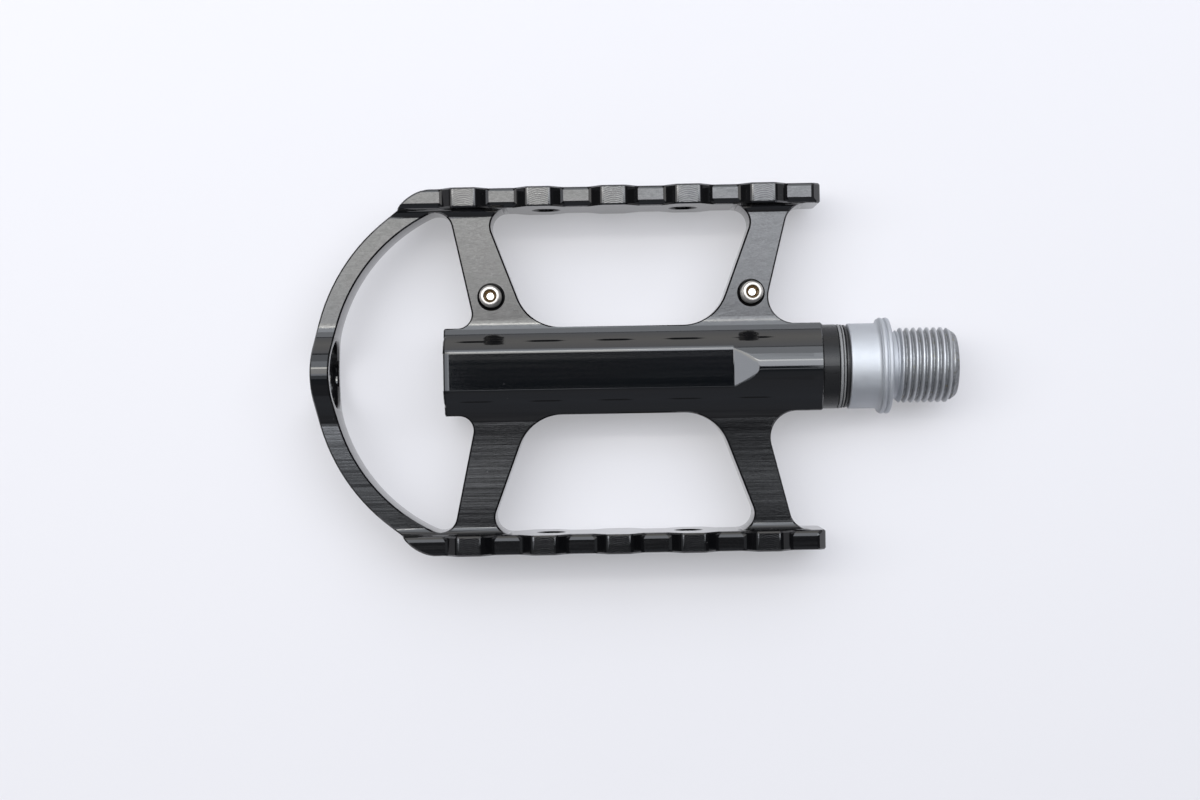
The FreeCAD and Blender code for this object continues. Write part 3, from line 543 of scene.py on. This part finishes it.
def dress(soft):
    """Gives each carried-over CAD piece its finish."""
    cap = turned_metal(
        "black_anodised_cap", grey(0.014, 0.001), grey(0.008, 0.001), (0.18, 0.26), metallic=0.0
    )
    ball = turned_metal("polished_bearing_steel", grey(0.76, 0.01), grey(0.68, 0.01), (0.07, 0.14), cut=0.02)
    sheet = turned_metal("pressed_sheet_steel", grey(0.60, 0.01), grey(0.50, 0.01), (0.28, 0.42))
    spacer = turned_metal("turned_spacer_steel", grey(0.62, 0.01), grey(0.54, 0.01), (0.22, 0.34))
    zinc = turned_metal("zinc_plated_nut", grey(0.72, 0.02), grey(0.60, 0.02), (0.24, 0.38))
    finishes = {
        "pedal_cage": anodised_cage(),
        "flanged_bushing": polymer(),
        "end_cap": cap.material,
        "end_cap_o_ring": soft,
        "bearing_spacer": spacer.material,
        "lock_washer": zinc.material,
        "lock_nut": zinc.material,
    }
    for end in ("inner", "outer"):
        for piece in ("outer_race", "inner_race", "balls"):
            finishes[f"{end}_bearing_{piece}"] = ball.material
        for piece in ("retainer", "shields"):
            finishes[f"{end}_bearing_{piece}"] = sheet.material
    for name, material in finishes.items():
        nodes[name].data.materials.clear()
        nodes[name].data.materials.append(material)
    break_edges(nodes["pedal_cage"])


# Turned pieces with real screw threads, in millimetres, through rings (place along X, radius)

def around(sides):
    """Angles of evenly spread points around an axis."""
    return np.arange(sides) * 2 * math.pi / sides


def hexagon(angles, flats):
    """Distance from the middle of a hexagon to its sides, at each angle."""
    turn = np.mod(angles, math.pi / 3) - math.pi / 6
    return flats / 2 / np.cos(turn)


def thread(along, angles, pitch, crest, depth, hand=1):
    """Radius of a screw thread at one place along its axis, at each angle; a left hand is -1."""
    root_share, flank_share = 0.16, 0.66
    phase = np.mod(along / pitch - hand * angles / (2 * math.pi), 1.0)
    rise = np.clip((np.abs(phase - 0.5) * 2 - root_share) / flank_share, 0.0, 1.0)
    eased = rise * rise * (3 - 2 * rise)
    return crest - depth * (1 - 0.35 * eased - 0.65 * rise)


def arc(centre, radius, start, end, steps):
    """Points of an arc in the half section, from one angle in degrees to another."""
    turns = [math.radians(start + (end - start) * k / steps) for k in range(steps + 1)]
    return [(centre[0] + radius * math.cos(t), centre[1] + radius * math.sin(t)) for t in turns]


def ring_points(along, radius, angles):
    """Points of a ring around X, whose radius may change with the angle."""
    radii = np.broadcast_to(radius, angles.shape)
    return [(along, y, z) for y, z in zip(radii * np.cos(angles), radii * np.sin(angles))]


def wall(low, high, sides):
    """Faces between two rings, from the numbers of their first points."""
    after = [(k + 1) % sides for k in range(sides)]
    return [(low + k, low + after[k], high + after[k], high + k) for k in range(sides)]


def add_piece(name, shape, material):
    """A smooth mesh piece from the points and faces of its shape."""
    points, faces = shape
    mesh = bpy.data.meshes.new(name)
    mesh.from_pydata([tuple(c * MM for c in point) for point in points], [], faces)
    mesh.validate()
    mesh.shade_smooth()
    mesh.set_sharp_from_angle(angle=math.radians(32))
    mesh.materials.append(material)
    made = bpy.data.objects.new(name, mesh)
    bpy.context.scene.collection.objects.link(made)
    return made


def lathe(rings, sides):
    """Points and faces of a closed solid through rings, of which the first and last are points."""
    angles = around(sides)
    points = [(rings[0][0], 0.0, 0.0)]
    for along, radius in rings[1:-1]:
        points += ring_points(along, radius, angles)
    points.append((rings[-1][0], 0.0, 0.0))
    end = len(points) - 1
    last = end - sides
    faces = []
    for k in range(sides):
        after = (k + 1) % sides
        faces += [(0, 1 + after, 1 + k), (end, last + k, last + after)]
    for low in range(1, last, sides):
        faces += wall(low, low + sides, sides)
    return points, faces


def hoop(rings, sides):
    """Points and faces of a closed ring through sections that go once around its wall."""
    angles = around(sides)
    points = []
    for along, radius in rings:
        points += ring_points(along, radius, angles)
    faces = []
    for k in range(len(rings)):
        faces += wall(k * sides, (k + 1) % len(rings) * sides, sides)
    return points, faces


def box_mm(node):
    """Lowest and highest corner of a CAD node."""
    low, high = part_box(node)
    return low / MM, high / MM


def build_seal(material):
    """Spindle seal with three thin lips and the grooves between them."""
    bore_r, shoulder_r, groove_r = 6.25, 7.1, 7.2
    chamfer_x, chamfer_r = 0.08, 0.1
    low, high = box_mm("spindle_seal")
    crest = high.z
    # Each lip's start and end behind the seal's face, and its radius
    lips = ((0.42, 0.82, crest - 0.12), (1.02, 1.32, crest - 0.05), (1.50, 2.0, crest))
    rings = [(high.x, bore_r), (high.x, shoulder_r), (high.x - 0.38, shoulder_r + 0.05)]
    for start, end, top in lips:
        first, last = high.x - start, high.x - end
        rings += [(first, groove_r), (first, top - chamfer_r), (first - chamfer_x, top)]
        rings += [(last + chamfer_x, top), (last, top - chamfer_r), (last, groove_r)]
    rings.append((low.x, bore_r))
    made = add_piece("spindle_seal_lips", hoop(rings, 120), material)
    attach(made, "spindle")
    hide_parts("spindle_seal")


def key_socket(tip, angles):
    """Hexagon socket in the spindle's end, from its floor to its chamfered mouth."""
    key = hexagon(angles, 6.0)
    floor, mouth = tip - 9.0, tip - 0.6
    mouth_r, step = 3.02, 0.15
    rings = [(floor, 0), (floor, key * 0.6), (floor, key), (mouth - 0.02, key)]
    for k in range(5):
        rings.append((mouth + step * k, np.maximum(key, mouth_r + step * k)))
    return rings


def crank_thread(tip, angles):
    """Left-hand crank thread, from the spindle's rounded nose to where it runs out."""
    pitch, crest, depth, lead = 1.27, 7.1, 0.74, 0.43
    nose_r, nose_length = 5.85, 1.8
    start, end, step = tip - 0.2, -0.8, pitch / 20
    rings = [(tip, 4.6), (tip, 5.66), (tip - 0.04, 5.76), (tip - 0.12, 5.86)]
    for k in range(round((start - end) / step) + 1):
        x = start - k * step
        shell = min(crest, crest + x, nose_r + (tip - x) * (crest - nose_r) / nose_length)
        rings.append((x, np.minimum(thread(x - lead, angles, pitch, crest, depth, hand=-1), shell)))
    return rings


def flange_and_collar(collar_end):
    """The neck behind the thread, the flange's two beads, and the collar after a round corner."""
    neck_r, flange_x = 6.3, -1.9
    bead_r, bead_half, bead_drop, bead_steps = 9.085, 0.46, 0.42, 6
    collar_r, corner_r = 8.05, 0.8
    rings = [(-1.0, neck_r), (-1.55, neck_r), (-1.75, neck_r + 0.06), (-1.87, neck_r + 0.2)]
    rings += [(flange_x, 6.75), (flange_x, 8.55)]
    for middle in (-2.36, -3.39):
        for k in range(2 * bead_steps + 1):
            u = 1 - k / bead_steps
            drop = bead_drop * (1 - math.sqrt(1 - 0.96 * u * u))
            rings.append((middle + bead_half * u, bead_r - drop))
    rings += arc((-4.75, collar_r + corner_r), corner_r, 0, -90, 10)
    rings += [(collar_end + 0.3, collar_r), (collar_end + 0.13, collar_r - 0.03)]
    rings += [(collar_end + 0.03, collar_r - 0.12), (collar_end, collar_r - 0.25)]
    return rings


def journal_and_stub(collar_end, stub, angles):
    """The seal's seat, the bushing's journal, the bearings' seat and the threaded stub."""
    seat_r, journal_r, bearing_r, stub_r = 6.2, 5.0, 3.0, 2.5
    pitch, depth, step, point_r = 0.8, 0.45, 0.05, 1.6
    seal_end = box_mm("spindle_seal")[0].x
    bushing_end = box_mm("flanged_bushing")[0].x
    shelf = box_mm("inner_bearing_inner_race")[1].x
    washer_low, washer_high = box_mm("lock_washer")
    relief = washer_high.x + 0.4
    rings = [(collar_end, seat_r), (seal_end, seat_r), (seal_end, journal_r + 0.2)]
    rings += [(seal_end - 0.2, journal_r), (bushing_end, journal_r)]
    rings += [(shelf + 0.15, 3.8), (shelf, 3.65), (shelf, bearing_r), (relief, bearing_r), (relief, stub_r)]
    for k in range(round((washer_low.x - stub) / step) + 1):
        x = washer_low.x - step * k
        chamfer = point_r + 0.5 + (x - stub)
        rings.append((x, np.minimum(thread(x, angles, pitch, stub_r, depth), chamfer)))
    return rings + [(stub, point_r), (stub, 0)]


def build_spindle():
    """Spindle with its crank thread, beaded flange, collar, journal and stub."""
    sides = 160
    angles = around(sides)
    low, high = box_mm("spindle")
    collar_end = box_mm("spindle_seal")[1].x
    rings = key_socket(high.x, angles) + crank_thread(high.x, angles)
    rings += flange_and_collar(collar_end) + journal_and_stub(collar_end, low.x, angles)
    made = add_piece("spindle_threaded", lathe(rings, sides), spindle_steel())
    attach(made, "spindle")
    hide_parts("spindle")


def pin_rings(length, angles):
    """A set screw, from its socket's floor over its rounded rim and down its thread."""
    key = hexagon(angles, 2.0)
    floor, drill_r = length - 1.66, 0.64
    pin_r, foot_r, rim_r = 2.0, 1.5, 0.42
    pitch, depth, step = 0.7, 0.36, 0.035
    rings = [(floor, 0), (floor, drill_r), (floor + 0.04, drill_r + 0.04)]
    rings += [(length - 0.95, key * 0.97), (length - 0.9, key), (length - 0.3, key)]
    for k in range(4):
        rings.append((length - 0.25 + 0.07 * k, np.maximum(key, 1.0 + 0.075 * k)))
    rings += [(length, 1.26), (length, 1.40)]
    rings += arc((length - rim_r, 1.46), rim_r, 0, 76, 8)
    start = length - 0.5
    for k in range(round((start - 0.05) / step) + 1):
        x = start - step * k
        shell = max(min(pin_r, foot_r + 0.05 + x), foot_r)
        rings.append((x, np.minimum(thread(x, angles, pitch, pin_r, depth), shell)))
    return rings + [(0, foot_r), (0, 0)]


def build_pins():
    """Traction pins: set screws with a rounded rim, a hexagon socket and a real thread."""
    sides = 72
    low, high = box_mm("traction_pin_top_inboard")
    length = high.z - low.z
    shape = lathe(pin_rings(length, around(sides)), sides)
    steel = pin_steel(length)
    for face_name, face in (("top", 1), ("bottom", -1)):
        for end_name in ("inboard", "outboard"):
            node = f"traction_pin_{face_name}_{end_name}"
            low, high = box_mm(node)
            foot = low.z if face > 0 else high.z
            made = add_piece(f"{node}_screw", shape, steel)
            made.rotation_euler = (0, -face * math.pi / 2, 0)
            made.location = Vector(((low.x + high.x) / 2, (low.y + high.y) / 2, foot)) * MM
            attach(made, "cage")
            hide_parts(node)


# Floor, light and camera, in metres

def floor_paper():
    """Pale matt paper."""
    s = Shader(
        "pale_paper_floor", IOR=1.35, Specular_IOR_Level=0.2,
        Emission_Color=rgb(0.97, 0.97, 1.0), Emission_Strength=0.35,
    )
    grain = s.noise((900.0, 900.0, 900.0), detail=4.0)
    soft = s.noise((9.0, 9.0, 9.0))
    s.colour(s.blend(soft, rgb(0.367, 0.3625, 0.3805), rgb(0.376, 0.3715, 0.3895)))
    s.roughness(s.span(grain, 0.0, 1.0, 0.75, 0.9))
    s.normal(s.bump(grain, strength=0.03, depth=0.05 * MM))
    return s.material


def build_floor():
    """A wide floor that the part lies on."""
    half = 3.0
    height = cad_box[0].z
    corners = [(-half, -half, height), (half, -half, height), (half, half, height), (-half, half, height)]
    mesh = bpy.data.meshes.new("floor")
    mesh.from_pydata(corners, [], [(0, 1, 2, 3)])
    floor = bpy.data.objects.new("floor", mesh)
    floor.data.materials.append(floor_paper())
    bpy.context.scene.collection.objects.link(floor)


def softbox(name, low, high, radiance, colour):
    """A soft light in the ceiling that shines straight down, between two corners (X, Y)."""
    ceiling = 0.62
    width, depth = (b - a for a, b in zip(low, high))
    light = bpy.data.lights.new(name, "AREA")
    light.shape = "RECTANGLE"
    light.size = width
    light.size_y = depth
    light.energy = radiance * math.pi * width * depth
    light.color = colour
    made = bpy.data.objects.new(name, light)
    made.location = ((low[0] + high[0]) / 2, (low[1] + high[1]) / 2, ceiling)
    made.visible_camera = False
    bpy.context.scene.collection.objects.link(made)


def build_light():
    """A wide overhead light on the +Y side with a bright strip in it, and weaker ones around it."""
    left, right = -1.04, 0.56
    near_y, strip_y, far_y = 0.030, 0.180, 0.222
    softbox("near_left", (left, near_y), (-0.04, strip_y), 4.4, (1.0, 1.0, 0.985))
    softbox("near_right", (-0.04, near_y), (right, strip_y), 4.5, (0.90, 0.935, 1.0))
    softbox("strip_left", (left, strip_y), (-0.03, far_y), 13.0, (1.0, 0.99, 0.94))
    softbox("strip_middle", (-0.03, strip_y), (0.025, far_y), 9.5, (1.0, 0.99, 0.95))
    softbox("strip_right", (0.025, strip_y), (right, far_y), 6.8, (0.96, 0.98, 1.0))
    softbox("far", (-0.80, far_y), (0.66, 0.45), 3.2, (0.88, 0.93, 1.0))
    softbox("farther", (-0.80, 0.45), (0.66, 0.878), 1.65, (0.88, 0.93, 1.0))
    softbox("left", (left, -0.02), (-0.145, near_y), 4.0, (0.88, 0.92, 1.0))
    softbox("low_left", (left, -0.12), (-0.17, -0.02), 0.9, (0.88, 0.93, 1.0))
    softbox("low_middle", (-0.17, -0.060), (-0.05, -0.030), 1.45, (0.92, 0.95, 1.0))
    softbox("low_right", (-0.05, -0.060), (0.36, -0.038), 1.15, (0.90, 0.94, 1.0))
    softbox("right", (0.055, -0.030), (0.36, near_y), 2.3, (0.90, 0.94, 1.0))


def paint_room(ramp):
    """Brightness of the room from its -Y side, at 0, to its +Y side, at 1."""
    bands = (
        (0.38, 0.20), (0.47, 0.04), (0.52, 0.04), (0.60, 0.40),
        (0.905, 0.40), (0.908, 0.08), (0.915, 0.08), (0.918, 1.05),
    )
    stops = ramp.elements
    stops[0].position = 0.0
    stops[0].color = rgb(0.22, 0.235, 0.27)
    stops[1].position = 1.0
    stops[1].color = rgb(1.15, 1.13, 1.10)
    for position, value in bands:
        stop = stops.new(position)
        stop.color = rgb(value * 0.97, value * 0.99, value * 1.06)


def build_room():
    """A room with a bright and a dark side, which is a little paler towards the horizon."""
    world = bpy.data.worlds.new("room")
    world.use_nodes = True
    tree = world.node_tree
    tree.nodes.clear()
    place = tree.nodes.new("ShaderNodeTexCoord")
    split = tree.nodes.new("ShaderNodeSeparateXYZ")
    across = tree.nodes.new("ShaderNodeMapRange")
    horizon = tree.nodes.new("ShaderNodeMapRange")
    ramp = tree.nodes.new("ShaderNodeValToRGB")
    mix = tree.nodes.new("ShaderNodeMix")
    back = tree.nodes.new("ShaderNodeBackground")
    out = tree.nodes.new("ShaderNodeOutputWorld")
    mix.data_type = "RGBA"
    mix.inputs[7].default_value = rgb(0.70, 0.70, 0.72)
    back.inputs["Strength"].default_value = 1.0
    for node, values in ((across, (-1.0, 1.0, 0.0, 1.0)), (horizon, (0.0, 0.05, 0.1, 0.0))):
        for socket, value in zip(list(node.inputs)[1:5], values):
            socket.default_value = value
    paint_room(ramp.color_ramp)
    tree.links.new(place.outputs["Generated"], split.inputs[0])
    tree.links.new(split.outputs[1], across.inputs[0])
    tree.links.new(split.outputs[2], horizon.inputs[0])
    tree.links.new(across.outputs[0], ramp.inputs[0])
    tree.links.new(horizon.outputs[0], mix.inputs[0])
    tree.links.new(ramp.outputs[0], mix.inputs[6])
    tree.links.new(mix.outputs[2], back.inputs["Color"])
    tree.links.new(back.outputs[0], out.inputs["Surface"])
    bpy.context.scene.world = world


def build_camera():
    """Looks straight down from the photo's height, with the pedal turned a degree in the frame."""
    data = bpy.data.cameras.new("camera")
    data.sensor_width = 36.0
    data.lens = 57.06
    data.clip_start = 0.01
    data.clip_end = 20.0
    camera = bpy.data.objects.new("camera", data)
    camera.location = (-0.05645, -0.00560, 0.360)
    camera.rotation_euler = (0.0, 0.0, math.radians(-0.987))
    bpy.context.scene.collection.objects.link(camera)
    bpy.context.scene.camera = camera


soft_rubber = rubber()
dress(soft_rubber)
build_seal(soft_rubber)
build_spindle()
build_pins()
build_floor()
build_light()
build_room()
build_camera()
bpy.context.scene.view_settings.view_transform = "Standard"
